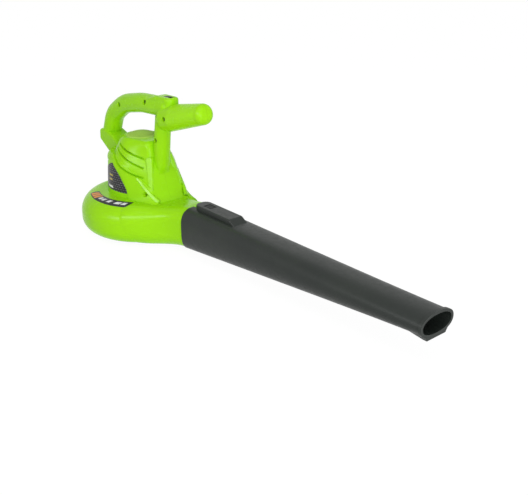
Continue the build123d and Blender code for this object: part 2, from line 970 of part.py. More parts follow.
def motor_vent_cap():
    """The vented dome over the motor: a thin shell, flush with the tower's top, with parallel slots."""
    sphere = (cap_radius**2 + cap_rise**2) / (2 * cap_rise)
    centre = Pos(0, 0, tower_top + cap_rise - sphere)
    top = tower_top + cap_rise + 1
    body = upright_rod(cap_radius, cap_seat, top) & centre * Sphere(sphere)
    inside = upright_rod(cap_radius - 3, cap_seat - 1, top) & centre * Sphere(sphere - cap_wall)
    body -= inside
    for index in range(cap_slots):
        y = (index - (cap_slots - 1) / 2) * cap_slot_pitch
        reach = (((cap_radius - 5) ** 2) - y**2) ** 0.5
        body -= block((-reach, reach), (y - 1, y + 1), (cap_seat, top))
    return body


def switch_slider():
    """The thumb button in its recess, drawn in its rear position, with the stem to the switch."""
    rear = switch_x - slider_travel / 2
    floor = boss_top - recess_depth + slide_gap
    pad = block(
        (rear - slider_length / 2, rear + slider_length / 2),
        (-slider_width / 2, slider_width / 2),
        (floor, boss_top - 0.3),
    )
    pad = fillet(pad.faces().sort_by(Axis.Z)[-1].edges(), 1)
    stem = block((rear - 2, rear + 2), (-2, 2), (switch_high + slide_gap, floor + 1))
    return pad + stem


def switch_body():
    return block(
        (switch_x - switch_half[0], switch_x + switch_half[0]),
        (-switch_half[1], switch_half[1]),
        (switch_low, switch_high),
    )


def wire_leads():
    """The leads from the inlet along the loop to the switch, and from there down the post."""
    return lead_channel(lead_radius) - inlet_recess() - switch_body() - tower_cavity()


# Everything in place
fan_skin = fan_outer()
pieces["fan_housing"] = fan_housing(fan_skin)
pieces["base_plate"] = base_plate()
pieces["base_screws"] = base_screws()
pieces["intake_grille"] = intake_grille()
pieces["blower_tube"] = blower_tube()
pieces["release_button"] = release_button()
pieces["release_spring"] = release_spring()
pieces["latch_cap"] = latch_cap()
pieces["impeller"] = impeller()
pieces["impeller_washer"] = ring(9, shaft_radius, 36.5, 38)
pieces["impeller_nut"] = impeller_nut()
pieces["motor_shaft"] = motor_shaft()
pieces["lower_bearing"] = bearing(scroll_top)
pieces["upper_bearing"] = bearing(bracket_arms)
pieces["lower_bracket"] = lower_bracket()
pieces["upper_bracket"] = upper_bracket()
pieces["stator_core"] = stator_core()
pieces["field_coils"] = field_coils()
pieces["armature_core"] = armature_core()
pieces["armature_winding"] = armature_winding()
pieces["commutator"] = commutator()
pieces["brush_holders"] = brush_holders()
pieces["carbon_brushes"] = carbon_brushes()
pieces["brush_springs"] = brush_springs()
pieces["motor_screws"] = motor_screws()
pieces["housing_right"], pieces["housing_left"] = tower_halves(fan_skin)
pieces["housing_screws"] = housing_screws()
pieces["motor_vent_cap"] = motor_vent_cap()
pieces["switch_slider"] = switch_slider()
pieces["switch_body"] = switch_body()
pieces["inlet_insert"] = inlet_insert()
pieces["inlet_blades"] = inlet_slots()
pieces["wire_leads"] = wire_leads()

for name, piece in pieces.items():
    export_step(piece, f"parts/{name}.step")
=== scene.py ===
# %% [markdown]
# # A corded leaf blower
# The real tool is a green moulded fan housing and motor tower with a carrying loop, and a dark grey
# tapered tube. This lesson loads the imported CAD model as a fixed frame and gives every part a finish
# made of shader nodes. It then adds what the CAD model leaves out: label films, pale folds, the floors of
# the side slits, a fairing, the mesh of the vent dome, screw heads and a coil spring.

import bpy
import numpy as np
from mathutils import Matrix, Vector


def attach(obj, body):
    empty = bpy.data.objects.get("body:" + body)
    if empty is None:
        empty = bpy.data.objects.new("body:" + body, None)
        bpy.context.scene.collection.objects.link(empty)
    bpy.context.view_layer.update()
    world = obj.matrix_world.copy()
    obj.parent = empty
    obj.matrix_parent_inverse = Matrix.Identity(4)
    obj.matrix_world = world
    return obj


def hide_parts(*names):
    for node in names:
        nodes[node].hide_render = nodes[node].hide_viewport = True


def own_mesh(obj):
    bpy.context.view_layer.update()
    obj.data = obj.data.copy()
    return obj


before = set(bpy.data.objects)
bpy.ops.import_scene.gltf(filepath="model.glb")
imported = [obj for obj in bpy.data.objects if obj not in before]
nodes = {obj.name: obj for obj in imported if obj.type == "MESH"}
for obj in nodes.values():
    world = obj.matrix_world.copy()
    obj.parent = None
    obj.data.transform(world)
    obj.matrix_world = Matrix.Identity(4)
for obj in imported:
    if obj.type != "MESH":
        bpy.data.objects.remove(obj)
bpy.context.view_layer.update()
mm = 0.001

# %% [markdown]
# ## The camera
# The picture was taken from the front right of the tool and a little above it. Two angles, a place and
# a lens describe that view. The camera looks along its own -Z, so its matrix is built from the right,
# up and back directions that the two angles give.

# %% Camera from two angles, a place and a lens
view_azimuth = np.radians(48.71)
view_elevation = np.radians(22.69)
camera_place = Vector((1.0186, -0.6503, 0.4620))
camera_lens = 55.72
sensor_width = 36
nearest_seen = 10 * mm

flat = np.cos(view_elevation)
back = Vector((np.sin(view_azimuth) * flat, -np.cos(view_azimuth) * flat, np.sin(view_elevation)))
right = Vector((np.cos(view_azimuth), np.sin(view_azimuth), 0))
up = back.cross(right)
camera_data = bpy.data.cameras.new("camera")
camera_data.sensor_fit = "HORIZONTAL"
camera_data.sensor_width = sensor_width
camera_data.lens = camera_lens
camera_data.clip_start = nearest_seen
camera = bpy.data.objects.new("camera", camera_data)
camera_turn = Matrix((right, up, back)).transposed().to_4x4()
camera.matrix_world = Matrix.Translation(camera_place) @ camera_turn
bpy.context.scene.collection.objects.link(camera)
bpy.context.scene.camera = camera
print("camera distance to the fan in mm:", round(camera_place.length / mm))

# %% [markdown]
# ## Floor, sky and lamps
# A plain white studio: a white floor, a white sky and three soft lamps. The floor and the sky show
# their own white to the camera and in reflections, through the light path node, so the picture has a
# clean background, and a faint contact shadow stays under the fan. The sky gives much of the light. A
# key lamp in front of the nozzle brightens the faces that are turned to it, a top lamp lifts the upper
# faces, and a long strip beside the near side shows only in reflections, as thin highlights.

# %% Floor and world
scene = bpy.context.scene
scene.view_settings.view_transform = "Standard"
sky_fill = 0.55
floor_white_share = 0.92
# A little over 1, because the share of the floor that is shaded is darker than white.
floor_white = 1.04
floor_half = 4.0
floor_height = -0.5 * mm


def new_material(name):
    """A node material with its principled shader: returns the material, its tree and the shader."""
    material = bpy.data.materials.new(name)
    material.use_nodes = True
    tree = material.node_tree
    return material, tree, tree.nodes["Principled BSDF"]


def math_node(tree, operation, *values):
    """One arithmetic node: each value is a number or the output of another node."""
    node = tree.nodes.new("ShaderNodeMath")
    node.operation = operation
    for socket, value in zip(node.inputs, values):
        if isinstance(value, (int, float)):
            socket.default_value = value
        else:
            tree.links.new(value, socket)
    return node.outputs[0]


def camera_sees(tree):
    """A factor that is 1 for what the camera sees directly, mirrored or through glass."""
    path = tree.nodes.new("ShaderNodeLightPath")
    seen = path.outputs["Is Camera Ray"]
    for kind in ("Is Glossy Ray", "Is Transmission Ray"):
        seen = math_node(tree, "MAXIMUM", seen, path.outputs[kind])
    return seen


def make_floor():
    """A square sheet just under the foot ring: white to the camera, apart from a share of its shading."""
    signs = ((-1, -1), (1, -1), (1, 1), (-1, 1))
    corners = [(floor_half * along, floor_half * across, floor_height) for along, across in signs]
    mesh = bpy.data.meshes.new("floor")
    mesh.from_pydata(corners, [], [(0, 1, 2, 3)])
    floor = bpy.data.objects.new("floor", mesh)
    scene.collection.objects.link(floor)
    material, tree, shader = new_material("white_floor")
    shader.inputs["Base Color"].default_value = (0.9, 0.9, 0.9, 1)
    shader.inputs["Roughness"].default_value = 0.9
    white = tree.nodes.new("ShaderNodeEmission")
    white.inputs["Strength"].default_value = floor_white
    mix = tree.nodes.new("ShaderNodeMixShader")
    tree.links.new(math_node(tree, "MULTIPLY", camera_sees(tree), floor_white_share), mix.inputs[0])
    tree.links.new(shader.outputs[0], mix.inputs[1])
    tree.links.new(white.outputs[0], mix.inputs[2])
    tree.links.new(mix.outputs[0], tree.nodes["Material Output"].inputs["Surface"])
    mesh.materials.append(material)


def make_world():
    """A grey-white sky as fill light that the camera and reflections see as pure white."""
    world = bpy.data.worlds.new("studio")
    world.use_nodes = True
    scene.world = world
    tree = world.node_tree
    fill = tree.nodes["Background"]
    fill.inputs["Color"].default_value = (1, 1, 1, 1)
    fill.inputs["Strength"].default_value = sky_fill
    white = tree.nodes.new("ShaderNodeBackground")
    white.inputs["Color"].default_value = (1, 1, 1, 1)
    white.inputs["Strength"].default_value = 1.0
    mix = tree.nodes.new("ShaderNodeMixShader")
    tree.links.new(camera_sees(tree), mix.inputs[0])
    tree.links.new(fill.outputs[0], mix.inputs[1])
    tree.links.new(white.outputs[0], mix.inputs[2])
    tree.links.new(mix.outputs[0], tree.nodes["World Output"].inputs["Surface"])


make_floor()
make_world()

# %% Soft lamps


def area_lamp(name, place, target, width, height, power, only_gloss=False):
    """A lamp facing a point, with its size in metres and power in watts, for all light or gloss alone."""
    data = bpy.data.lights.new(name, "AREA")
    data.shape = "RECTANGLE"
    data.size = width
    data.size_y = height
    data.energy = power
    lamp = bpy.data.objects.new(name, data)
    lamp.location = place
    lamp.rotation_euler = (Vector(target) - Vector(place)).to_track_quat("-Z", "Y").to_euler()
    lamp.visible_diffuse = not only_gloss
    scene.collection.objects.link(lamp)


area_lamp("key", (1.65, -0.6, 0.36), (0.1, 0, 0.1), width=0.7, height=0.7, power=12.4)
area_lamp("top", (0.7, -0.7, 1.7), (0.05, 0, 0.1), width=1.2, height=0.6, power=9)
strip_target = (0.06, -0.05, 0.06)
area_lamp("strip", (0.5, -1.65, 0.83), strip_target, width=2.0, height=0.22, power=30, only_gloss=True)

# %% [markdown]
# ## Finishes
# Moulded plastic isn't one flat colour: the tool steel leaves a fine grain, thick places cool a little
# paler, and the gloss varies. Each finish below has a colour that drifts slowly with a noise, a fine
# grain as bump, and a roughness that follows a noise. All patterns read Object coordinates, which are
# metres in the tool's own frame, so they stay in place in every view.

# %% Helpers for the finishes
noise_low = 0.3
noise_high = 0.7
drift_cells = 14
gloss_cells = 160
gloss_swing = 0.05
grain_strength = 0.35
metal_cells = 90
metal_shade = 0.8
metal_swing = 0.08
scratch_depth = 0.02 * mm
scratch_strength = 0.3


def linear(red, green, blue):
    """Screen values from 0 to 255 as a shader's linear colour: ((v + 0.055) / 1.055) ^ 2.4."""
    values = np.array((red, green, blue)) / 255
    straight = values / 12.92
    curved = ((values + 0.055) / 1.055) ** 2.4
    return (*np.where(values < 0.04, straight, curved), 1)


def object_axes(tree):
    """The three Object coordinates as separate outputs, in metres."""
    place = tree.nodes.new("ShaderNodeTexCoord")
    split = tree.nodes.new("ShaderNodeSeparateXYZ")
    tree.links.new(place.outputs["Object"], split.inputs[0])
    return split.outputs


def noise(tree, scale, detail=2):
    """A noise over Object coordinates, with that many cells per metre: returns its value output."""
    place = tree.nodes.new("ShaderNodeTexCoord")
    cells = tree.nodes.new("ShaderNodeTexNoise")
    cells.inputs["Scale"].default_value = scale
    cells.inputs["Detail"].default_value = detail
    tree.links.new(place.outputs["Object"], cells.inputs["Vector"])
    return cells.outputs["Fac"]


def remapped(tree, source, start, end, low, high):
    """Carry a value from start to end over to low to high, clamped at both."""
    remap = tree.nodes.new("ShaderNodeMapRange")
    remap.inputs["From Min"].default_value = start
    remap.inputs["From Max"].default_value = end
    remap.inputs["To Min"].default_value = low
    remap.inputs["To Max"].default_value = high
    tree.links.new(source, remap.inputs["Value"])
    return remap.outputs["Result"]


def spread(tree, source, low, high):
    """Stretch a noise over low to high, from the two values that it mostly lies between."""
    return remapped(tree, source, noise_low, noise_high, low, high)


def mixed(tree, factor, first, second):
    """A colour between two: each is a colour or the output of another mix."""
    mix = tree.nodes.new("ShaderNodeMix")
    mix.data_type = "RGBA"
    tree.links.new(factor, mix.inputs["Factor"])
    for socket, value in ((mix.inputs[6], first), (mix.inputs[7], second)):
        if isinstance(value, tuple):
            socket.default_value = value
        else:
            tree.links.new(value, socket)
    return mix.outputs[2]


def bump(tree, shader, height, distance, strength):
    """Lay a height pattern on the shader's normal, on top of a bump that is already there."""
    node = tree.nodes.new("ShaderNodeBump")
    node.inputs["Strength"].default_value = strength
    node.inputs["Distance"].default_value = distance
    tree.links.new(height, node.inputs["Height"])
    if shader.inputs["Normal"].is_linked:
        tree.links.new(shader.inputs["Normal"].links[0].from_socket, node.inputs["Normal"])
    tree.links.new(node.outputs["Normal"], shader.inputs["Normal"])


def recolour(tree, shader, factor, colour):
    """Mix one more colour over the base colour that the shader already has."""
    under = shader.inputs["Base Color"].links[0].from_socket
    tree.links.new(mixed(tree, factor, under, colour), shader.inputs["Base Color"])


def moulded(name, colour, pale, roughness, grain_cells, grain_depth, gloss_level=0.4):
    """Moulded plastic: a colour that drifts to a paler one, varied gloss and a fine grain."""
    material, tree, shader = new_material(name)
    drift = spread(tree, noise(tree, drift_cells), 0, 1)
    tree.links.new(mixed(tree, drift, colour, pale), shader.inputs["Base Color"])
    gloss = spread(tree, noise(tree, gloss_cells), roughness - gloss_swing, roughness + gloss_swing)
    tree.links.new(gloss, shader.inputs["Roughness"])
    bump(tree, shader, noise(tree, grain_cells), grain_depth, grain_strength)
    shader.inputs["Specular IOR Level"].default_value = gloss_level
    return material, tree, shader


def plain_plastic(name, colour, pale, **finish):
    """Moulded plastic with nothing more on it: returns the material alone."""
    return moulded(name, colour, pale, **finish)[0]


def metal(name, colour, roughness, grain_cells):
    """Bare metal: a colour that drifts to a darker one, and fine scratches that vary its gloss."""
    material, tree, shader = new_material(name)
    shader.inputs["Metallic"].default_value = 1
    dark = tuple(metal_shade * v for v in colour[:3]) + (1,)
    drift = spread(tree, noise(tree, metal_cells), 0, 1)
    tree.links.new(mixed(tree, drift, colour, dark), shader.inputs["Base Color"])
    gloss = spread(tree, noise(tree, grain_cells), roughness - metal_swing, roughness + metal_swing)
    tree.links.new(gloss, shader.inputs["Roughness"])
    bump(tree, shader, noise(tree, grain_cells), scratch_depth, scratch_strength)
    return material


def dress(material, *names):
    """Put one material on CAD nodes."""
    for name in names:
        nodes[name].data.materials.clear()
        nodes[name].data.materials.append(material)


# %% [markdown]
# ## The green shell
# One bright green plastic makes the fan housing and both tower halves. Two more things show on the
# halves: the hairline where they meet, on the plane y = 0, and a fine diamond knurl on the stub grip.
# The knurl is the product of two sine waves that wind round the grip's axis in opposite directions, and
# the whole grip is painted a little paler than the smooth shell, as a painted sheen for the light that
# the knurl catches.

# %% Green plastic with its parting line and knurl
shell_green = linear(146, 212, 12)
shell_pale = linear(152, 217, 18)
line_green = linear(122, 186, 8)
line_half = 0.15 * mm
tower_foot = 64 * mm
grip_root = (66 * mm, 182.5 * mm)
grip_tip = (163 * mm, 206.5 * mm)
knurl_start = 90 * mm
knurl_end = 154 * mm
knurl_pitch = 1.9 * mm
knurl_turns = 30
knurl_fade = 4 * mm
knurl_low = 150 * mm
knurl_clear = 160 * mm
knurl_depth = 0.3 * mm
knurl_strength = 0.5
# Painted sheen: a paler green for the light that the knurled grip catches.
grip_painted_sheen = linear(160, 228, 12)
line_core = 0.6

green, green_tree, green_shader = moulded(
    "green_shell",
    shell_green,
    shell_pale,
    roughness=0.24,
    grain_cells=2600,
    grain_depth=0.05 * mm,
    gloss_level=0.1,
)
green_x, green_y, green_z = object_axes(green_tree)
off_plane = math_node(green_tree, "ABSOLUTE", green_y)
on_line = remapped(green_tree, off_plane, line_core * line_half, line_half, 1, 0)
on_tower = remapped(green_tree, green_z, tower_foot, tower_foot + mm, 0, 1)
parting = math_node(green_tree, "MULTIPLY", on_line, on_tower)
recolour(green_tree, green_shader, parting, line_green)


def knurl_mask(tree, x, z):
    """1 on the stub grip, faded out at both of its ends and below it."""
    past_root = remapped(tree, x, knurl_start, knurl_start + knurl_fade, 0, 1)
    before_tip = remapped(tree, x, knurl_end - knurl_fade, knurl_end, 1, 0)
    on_grip = math_node(tree, "MULTIPLY", past_root, before_tip)
    return math_node(tree, "MULTIPLY", on_grip, remapped(tree, z, knurl_low, knurl_clear, 0, 1))


def knurl_height(tree, x, y, z):
    """sin(a + t) * sin(a - t), with a along the grip and t round its axis."""
    slope = (grip_tip[1] - grip_root[1]) / (grip_tip[0] - grip_root[0])
    rise = math_node(tree, "MULTIPLY_ADD", x, slope, grip_root[1] - slope * grip_root[0])
    turn = math_node(tree, "ARCTAN2", y, math_node(tree, "SUBTRACT", z, rise))
    along = math_node(tree, "MULTIPLY", x, float(np.pi / knurl_pitch))
    one = math_node(tree, "SINE", math_node(tree, "MULTIPLY_ADD", turn, knurl_turns, along))
    other = math_node(tree, "SINE", math_node(tree, "MULTIPLY_ADD", turn, -knurl_turns, along))
    return math_node(tree, "MULTIPLY", one, other)


on_knurl = knurl_mask(green_tree, green_x, green_z)
knurl = knurl_height(green_tree, green_x, green_y, green_z)
masked_knurl = math_node(green_tree, "MULTIPLY", knurl, on_knurl)
bump(green_tree, green_shader, masked_knurl, knurl_depth, knurl_strength)
# Paint the grip paler: a painted sheen, not a different plastic.
recolour(green_tree, green_shader, on_knurl, grip_painted_sheen)
dress(green, "fan_housing", "housing_right", "housing_left")
print("green shell on", sum(green.name in o.data.materials for o in nodes.values()), "nodes")

# %% [markdown]
# ## The grey tube and the dark plastics
# The tube is a dark grey plastic with a soft sheen, so its top takes a pale reflection from the sky.
# The button, the switch and the base are nearly black.

# %% Dark plastics
tube_grey = plain_plastic(
    "tube_grey",
    linear(32, 37, 34),
    linear(37, 42, 38),
    roughness=0.4,
    grain_cells=1800,
    grain_depth=0.08 * mm,
    gloss_level=0.26,
)
black = plain_plastic(
    "black_plastic",
    linear(34, 35, 35),
    linear(40, 41, 40),
    roughness=0.45,
    grain_cells=1800,
    grain_depth=0.06 * mm,
    gloss_level=0.25,
)
button_black = plain_plastic(
    "button_black",
    linear(20, 21, 21),
    linear(25, 26, 26),
    roughness=0.5,
    grain_cells=1800,
    grain_depth=0.06 * mm,
    gloss_level=0.15,
)
fan_grey = plain_plastic(
    "fan_grey",
    linear(92, 92, 94),
    linear(104, 104, 106),
    roughness=0.45,
    grain_cells=1800,
    grain_depth=0.06 * mm,
)
carbon = plain_plastic(
    "carbon",
    linear(32, 32, 34),
    linear(44, 44, 46),
    roughness=0.5,
    grain_cells=3000,
    grain_depth=0.05 * mm,
)
lead_cover = plain_plastic(
    "lead_cover",
    linear(40, 40, 40),
    linear(52, 52, 52),
    roughness=0.55,
    grain_cells=2500,
    grain_depth=0.05 * mm,
)
dress(tube_grey, "blower_tube")
dress(black, "base_plate", "intake_grille", "latch_cap", "switch_slider", "switch_body")
dress(black, "inlet_insert", "brush_holders")
dress(button_black, "release_button")
dress(fan_grey, "impeller")
dress(carbon, "carbon_brushes")
dress(lead_cover, "wire_leads")

# %% [markdown]
# ## Metals
# The motor, the bearings, the springs and the screws are bare metal. Most of it is hidden, but a
# finish on every part lets the model be opened up.

# %% Bare metals
steel = metal("steel", linear(190, 190, 194), roughness=0.32, grain_cells=900)
# The near-black screw steel is painted shade: it stands in for the shade deep in the screw holes.
hole_shade_steel = metal("hole_shade_steel", linear(40, 40, 43), roughness=0.6, grain_cells=900)
core_steel = metal("core_steel", linear(140, 140, 146), roughness=0.45, grain_cells=1200)
cast_light = metal("cast_light", linear(205, 205, 208), roughness=0.5, grain_cells=700)
copper_wire = metal("copper_wire", linear(196, 116, 66), roughness=0.35, grain_cells=1500)
blade_brass = metal("blade_brass", linear(214, 184, 112), roughness=0.3, grain_cells=900)
dress(steel, "motor_shaft", "lower_bearing", "upper_bearing", "impeller_washer", "impeller_nut")
dress(steel, "release_spring", "brush_springs", "motor_screws")
dress(hole_shade_steel, "base_screws", "housing_screws")
dress(core_steel, "stator_core", "armature_core")
dress(cast_light, "lower_bracket", "upper_bracket")
dress(copper_wire, "field_coils", "armature_winding", "commutator")
dress(blade_brass, "inlet_blades")
print("materials:", len(bpy.data.materials))

# %% [markdown]
# ## Label films
# Each label is a thin printed film on the shell. Its middle surface is a grid of points near the shell
# that a Shrinkwrap modifier pulls onto it. The pulled points are read back, and two copies of the grid,
# one just under the skin and one just over it, are closed round their border to make the film.

# %% Helpers for fitted films
film_lift = 0.18 * mm
film_root = 0.1 * mm
film_finish = {"roughness": 0.34, "grain_cells": 1500, "grain_depth": 0.02 * mm, "gloss_level": 0.2}


def grid_faces(rows, columns, start=0):
    """The four corners of every cell of a grid whose points are numbered row by row."""
    index = np.arange(rows * columns).reshape(rows, columns) + start
    corners = (index[:-1, :-1], index[:-1, 1:], index[1:, 1:], index[1:, :-1])
    return np.stack([c.ravel() for c in corners], axis=1)


def border_loop(rows, columns):
    """The numbers of a grid's border points, once round."""
    index = np.arange(rows * columns).reshape(rows, columns)
    return np.concatenate((index[0, :-1], index[:-1, -1], index[-1, :0:-1], index[:0:-1, 0]))


def new_piece(name, points, faces, material):
    """A smooth mesh object from arrays of points and of faces, at the origin."""
    mesh = bpy.data.meshes.new(name)
    mesh.from_pydata(points, [], faces.tolist())
    mesh.shade_smooth()
    piece = bpy.data.objects.new(name, mesh)
    scene.collection.objects.link(piece)
    if material is not None:
        mesh.materials.append(material)
    return piece


def pulled_onto(target, guess, along_y=False):
    """Where a grid of points lands on a CAD node: at its nearest points, or straight along +Y."""
    rows, columns = guess.shape[:2]
    sheet = new_piece("sheet", guess.reshape(-1, 3), grid_faces(rows, columns), None)
    wrap = sheet.modifiers.new("wrap", "SHRINKWRAP")
    wrap.target = nodes[target]
    wrap.wrap_method = "PROJECT" if along_y else "NEAREST_SURFACEPOINT"
    wrap.use_project_y = along_y
    shown = sheet.evaluated_get(bpy.context.evaluated_depsgraph_get())
    flat_list = np.empty(rows * columns * 3)
    shown.data.vertices.foreach_get("co", flat_list)
    bpy.data.objects.remove(sheet)
    return flat_list.reshape(rows, columns, 3)


def grid_normals(grid):
    """Unit normals of a grid: the cross product of its two directions."""
    across = np.gradient(grid, axis=1)
    along = np.gradient(grid, axis=0)
    normal = np.cross(across, along)
    return normal / np.linalg.norm(normal, axis=2, keepdims=True)


def closed_patch(name, over, under, material, slot):
    """A closed skin from two grids of the same size, joined round their border."""
    rows, columns = over.shape[:2]
    count = rows * columns
    loop = border_loop(rows, columns)
    ahead = np.roll(loop, -1)
    walls = np.stack((ahead, loop, loop + count, ahead + count), axis=1)
    outside = grid_faces(rows, columns)
    inside = grid_faces(rows, columns, count)[:, ::-1]
    faces = np.concatenate((outside, inside, walls))
    points = np.concatenate((over.reshape(-1, 3), under.reshape(-1, 3)))
    piece = new_piece(name, points, faces, material)
    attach(piece, "shell")
    print(name, "faces:", len(faces))
    return piece


def film(name, target, guess, sheet_marks, material):
    """A closed film on a CAD node, with a map of marks, two numbers a point, as its UV map."""
    skin = pulled_onto(target, guess)
    normal = grid_normals(skin)
    over = skin + film_lift * normal
    piece = closed_patch(name, over, skin - film_root * normal, material, "black_plastic")
    corner_points = np.empty(len(piece.data.loops), dtype=int)
    piece.data.loops.foreach_get("vertex_index", corner_points)
    marks = np.concatenate((sheet_marks.reshape(-1, 2), sheet_marks.reshape(-1, 2)))
    piece.data.uv_layers.new(name="marks").data.foreach_set("uv", marks[corner_points].ravel())


def between(tree, value, low, high, edge):
    """1 where a value lies between two limits, with soft ends of that width."""
    rising = remapped(tree, value, low, low + edge, 0, 1)
    falling = remapped(tree, value, high - edge, high, 1, 0)
    return math_node(tree, "MULTIPLY", rising, falling)


def mark_axes(tree):
    """The two numbers of the film's map of marks."""
    marks = tree.nodes.new("ShaderNodeUVMap")
    marks.uv_map = "marks"
    split = tree.nodes.new("ShaderNodeSeparateXYZ")
    tree.links.new(marks.outputs[0], split.inputs[0])
    return split.outputs[0], split.outputs[1]


# %% [markdown]
# ## The strip on the fan housing
# A dark curved strip lies on the rounded top of the fan housing, with an orange mark at its left end
# and pale bars after it. The print here is a plain pattern of slanted bars. The strip is a grid over the
# angle about the fan's axis and the distance from it, and its height follows the shoulder's quarter
# round: top - (r - sqrt(r^2 - d^2)), with r the round and d the distance past the flat top.

# %% Strip film
strip_from = np.radians(242)
strip_to = np.radians(311)
strip_inner = 68 * mm
strip_outer = 81.5 * mm
housing_top = 62.5 * mm
shoulder_start = 66.8 * mm
shoulder_round = 30 * mm
strip_end_slant = np.radians(4)

strip_dark = linear(40, 40, 42)
strip_drift = linear(48, 48, 50)
strip_orange = linear(232, 150, 62)
strip_pale = linear(222, 222, 226)
orange_bars = ((0.02, 0.1), (0.115, 0.19), (0.205, 0.27))
pale_bars = ((0.31, 0.38), (0.4, 0.47), (0.53, 0.61), (0.69, 0.8), (0.82, 0.9))
pale_row = (0.28, 0.74)
orange_row = (0.08, 0.92)
row_edge = 0.04
bar_edge = 0.006
bar_slant = -0.05


def strip_guess(share, width):
    """Points on the shoulder: the angle from the share along the strip, the radius from that across."""
    radius = strip_outer + width * (strip_inner - strip_outer)
    angle = strip_from + share * (strip_to - strip_from) + strip_end_slant * (width - 0.5)
    past = np.clip(radius - shoulder_start, 0, None)
    height = housing_top - (shoulder_round - np.sqrt(shoulder_round**2 - past**2))
    return np.stack((radius * np.cos(angle), radius * np.sin(angle), height), axis=-1)


def bars(tree, slanted, spans):
    """1 inside any of the spans along the strip."""
    total = None
    for low, high in spans:
        one = between(tree, slanted, low, high, bar_edge)
        total = one if total is None else math_node(tree, "MAXIMUM", total, one)
    return total


strip_print, strip_tree, strip_shader = moulded("strip_print", strip_dark, strip_drift, **film_finish)
strip_along, strip_across = mark_axes(strip_tree)
slanted = math_node(strip_tree, "MULTIPLY_ADD", strip_across, bar_slant, strip_along)
prints = ((pale_bars, pale_row, strip_pale), (orange_bars, orange_row, strip_orange))
for spans, row, colour in prints:
    in_row = between(strip_tree, strip_across, *row, row_edge)
    mark = math_node(strip_tree, "MULTIPLY", bars(strip_tree, slanted, spans), in_row)
    recolour(strip_tree, strip_shader, mark, colour)
strip_columns = 90
strip_rows = 16
strip_share, strip_width = np.meshgrid(np.linspace(0, 1, strip_columns), np.linspace(0, 1, strip_rows))
film(
    "strip_label",
    "fan_housing",
    strip_guess(strip_share, strip_width),
    np.stack((strip_share, strip_width), axis=-1),
    strip_print,
)

# %% [markdown]
# ## The triangle on the motor can
# A dark triangular film covers the side of the round motor can, with its slanted edge beside the raised
# panel. Its grid runs up the can, and each row runs between a left and a right angle about the can's
# axis that close in towards the tip. The print is a plain hatch of short slanted bars.

# %% Triangle film
can_axis = -5 * mm
can_foot = (64.5 * mm, 52.5 * mm)
can_head = (118 * mm, 49.2 * mm)
edge_heights = np.array((68, 74, 81, 90, 98, 105, 111)) * mm
left_edge = np.radians((214, 216, 220, 229, 240, 253, 266))
right_edge = np.radians((302.5, 301, 297, 290.5, 283.5, 275.5, 267.5))
foot_left = 70.5 * mm
foot_right = 68.5 * mm
tip_height = 111 * mm

can_clearance = 0.3 * mm
hatch_row_pitch = 3.4
hatch_bar_pitch = 5.2
hatch_row = (0.25, 0.75)
hatch_bar = (0.12, 0.82)
hatch_row_edge = 0.08
hatch_bar_edge = 0.06
hatch_lean = 0.5
patch_cells = 220
patch_low = 0.15
patch_high = 0.9
mark_side_edge = 0.3
mark_top_edge = 0.2
triangle_columns = 60
triangle_rows = 40

triangle_dark = linear(36, 36, 39)
triangle_drift = linear(44, 44, 47)
triangle_grey = linear(128, 128, 132)
triangle_yellow = linear(196, 178, 66)
triangle_pale = linear(226, 226, 230)


def triangle_guess(share, rise):
    """Points just outside the can: each row spans the two edges at its height."""
    foot = foot_left + share * (foot_right - foot_left)
    height = foot + rise * (tip_height - foot)
    left = np.interp(height, edge_heights, left_edge)
    right_side = np.interp(height, edge_heights, right_edge)
    angle = left + share * (right_side - left)
    taper = (can_head[1] - can_foot[1]) / (can_head[0] - can_foot[0])
    radius = can_foot[1] + taper * (height - can_foot[0]) + can_clearance
    points = np.stack((can_axis + radius * np.cos(angle), radius * np.sin(angle), height), axis=-1)
    return points, angle, height


triangle_grid = (np.linspace(0, 1, triangle_columns), np.linspace(0, 1, triangle_rows))
triangle_share, triangle_rise = np.meshgrid(*triangle_grid)
triangle_points, triangle_angle, triangle_height = triangle_guess(triangle_share, triangle_rise)
arc_length = (triangle_angle - np.radians(270)) * can_foot[1]
triangle_marks = np.stack((arc_length / mm, triangle_height / mm), axis=-1)

triangle_print, triangle_tree, triangle_shader = moulded(
    "triangle_print", triangle_dark, triangle_drift, **film_finish
)
mark_x, mark_z = mark_axes(triangle_tree)
lean_x = math_node(triangle_tree, "MULTIPLY_ADD", mark_z, hatch_lean, mark_x)


def repeated(value, pitch, span, edge):
    """1 inside a span of every repeat of a pitch, from the fraction of value / pitch."""
    wave = math_node(triangle_tree, "FRACT", math_node(triangle_tree, "MULTIPLY", value, 1 / pitch))
    return between(triangle_tree, wave, *span, edge)


in_rows = repeated(mark_z, hatch_row_pitch, hatch_row, hatch_row_edge)
in_bars = repeated(lean_x, hatch_bar_pitch, hatch_bar, hatch_bar_edge)
hatch = math_node(triangle_tree, "MULTIPLY", in_rows, in_bars)
patchy = spread(triangle_tree, noise(triangle_tree, patch_cells), patch_low, patch_high)
faded_hatch = math_node(triangle_tree, "MULTIPLY", hatch, patchy)
recolour(triangle_tree, triangle_shader, faded_hatch, triangle_grey)


def add_bar(x_span, z_span, colour):
    """Print one slanted bar, between limits along and up the film in mm."""
    along = between(triangle_tree, lean_x, *x_span, mark_side_edge)
    upward = between(triangle_tree, mark_z, *z_span, mark_top_edge)
    mark = math_node(triangle_tree, "MULTIPLY", along, upward)
    recolour(triangle_tree, triangle_shader, mark, colour)


add_bar(x_span=(35, 46), z_span=(90.4, 92.6), colour=triangle_yellow)
add_bar(x_span=(31, 41), z_span=(83.8, 86), colour=triangle_yellow)
add_bar(x_span=(22, 37), z_span=(72, 75.4), colour=triangle_pale)
film("triangle_label", "housing_right", triangle_points, triangle_marks, triangle_print)

